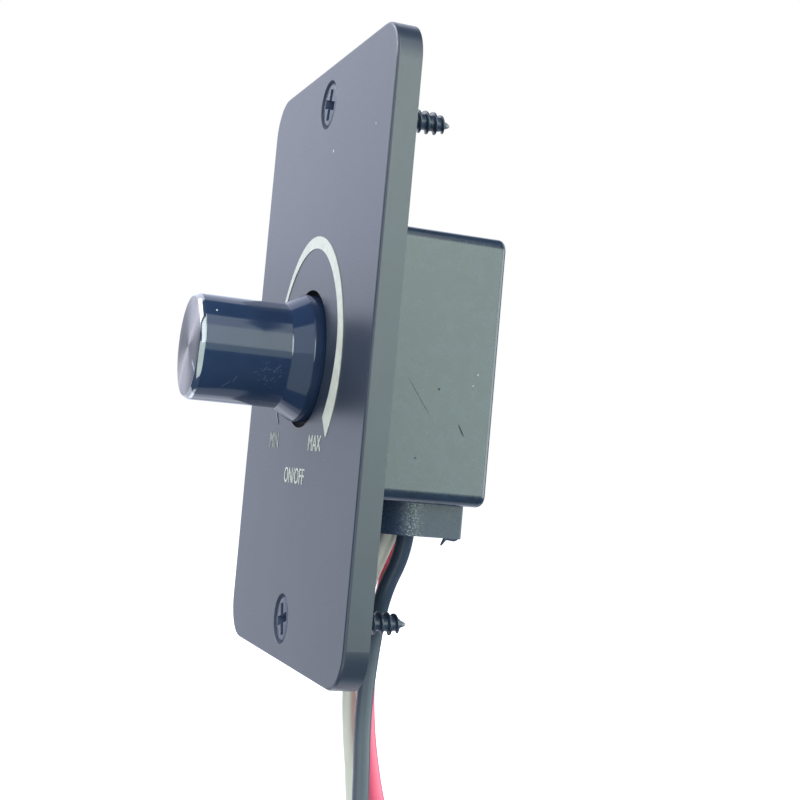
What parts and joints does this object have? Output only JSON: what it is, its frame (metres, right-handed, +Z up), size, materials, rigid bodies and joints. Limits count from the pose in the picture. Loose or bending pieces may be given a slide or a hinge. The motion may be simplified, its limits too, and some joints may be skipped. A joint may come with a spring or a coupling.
{
  "type": "rotary led dimmer",
  "caption": "Panel-mounted rotary LED dimmer: push-and-turn knob on a rounded black faceplate with a printed arc, control box behind it and hanging wire leads.",
  "frame": {"origin": "centre of the faceplate's back face, on the knob's axis, where it lies on the panel", "axes": "+Z up the plate, +Y into the panel along the knob's axis, +X to the right seen from the front"},
  "size_m": [0.05, 0.0361, 0.1555],
  "materials": {
    "black_anodised": "black anodised, satin",
    "white_print": "screen-printed ink",
    "black_screw": "black zinc, glossy",
    "knob_anodised": "black anodised, glossy, bright cut face",
    "black_moulding": "fine spark texture",
    "carrier_moulding": "plain moulded",
    "nickel_steel": "nickel plated",
    "bush_brass": "turned",
    "control_moulding": "plain moulded",
    "phenolic": "pressed laminate",
    "bronze": "stamped",
    "tinned_brass": "tin plated",
    "spring_steel": "drawn wire",
    "board_laminate": "green solder mask",
    "component_moulding": "moulded epoxy",
    "capacitor_can": "bare can",
    "solder": "bright solder",
    "black_insulation": "soft vinyl, satin",
    "red_insulation": "soft vinyl, satin",
    "white_insulation": "soft vinyl, satin",
    "tinned_copper": "tinned strands"
  },
  "bodies": {
    "base": {"faceplate": "black_anodised", "dial_arc": "white_print", "mounting_screws": "black_screw", "housing": "black_moulding", "wire_outlet": "black_moulding", "carrier": "carrier_moulding", "pot_frame": "nickel_steel", "bush_nut": "nickel_steel", "lock_washer": "nickel_steel", "pot_bush": "bush_brass", "pot_case": "control_moulding", "switch_case": "control_moulding", "resistance_track": "phenolic", "pot_terminals": "tinned_brass", "switch_terminals": "tinned_brass", "chip_legs": "tinned_brass", "transistor_legs": "tinned_brass", "return_spring": "spring_steel", "circuit_board": "board_laminate", "power_transistor": "component_moulding", "control_chip": "component_moulding", "flyback_diode": "component_moulding", "chip_resistors": "component_moulding", "smoothing_capacitor": "capacitor_can", "solder_joints": "solder", "black_lead": "black_insulation", "red_lead": "red_insulation", "white_lead": "white_insulation", "black_lead_end": "tinned_copper", "red_lead_end": "tinned_copper", "white_lead_end": "tinned_copper"},
    "plunger": {"switch_plunger": "control_moulding", "contact_ring": "bronze"},
    "knob": {"knob": "knob_anodised", "knob_insert": "carrier_moulding", "shaft": "nickel_steel"},
    "wiper": {"wiper_rotor": "control_moulding", "wiper_contact": "bronze"}
  },
  "joints": [
    {"name": "knob_press", "type": "slide", "parent": "base", "child": "plunger", "axis": [0, 1, 0], "range_m": [0, 0.0006], "stiffness_N_per_m": 2000, "springref_m": -0.0005, "deforming": ["return_spring"]},
    {"name": "knob_turn", "type": "hinge", "parent": "plunger", "child": "knob", "pos_m": [0, 0, 0], "axis": [0, 1, 0], "range_deg": [-130, 130]},
    {"name": "wiper_turn", "type": "hinge", "parent": "base", "child": "wiper", "pos_m": [0, 0, 0], "axis": [0, 1, 0], "range_deg": [-130, 130]}
  ],
  "couplings": [
    {"joint": "wiper_turn", "follows": "knob_turn", "ratio": 1}
  ]
}
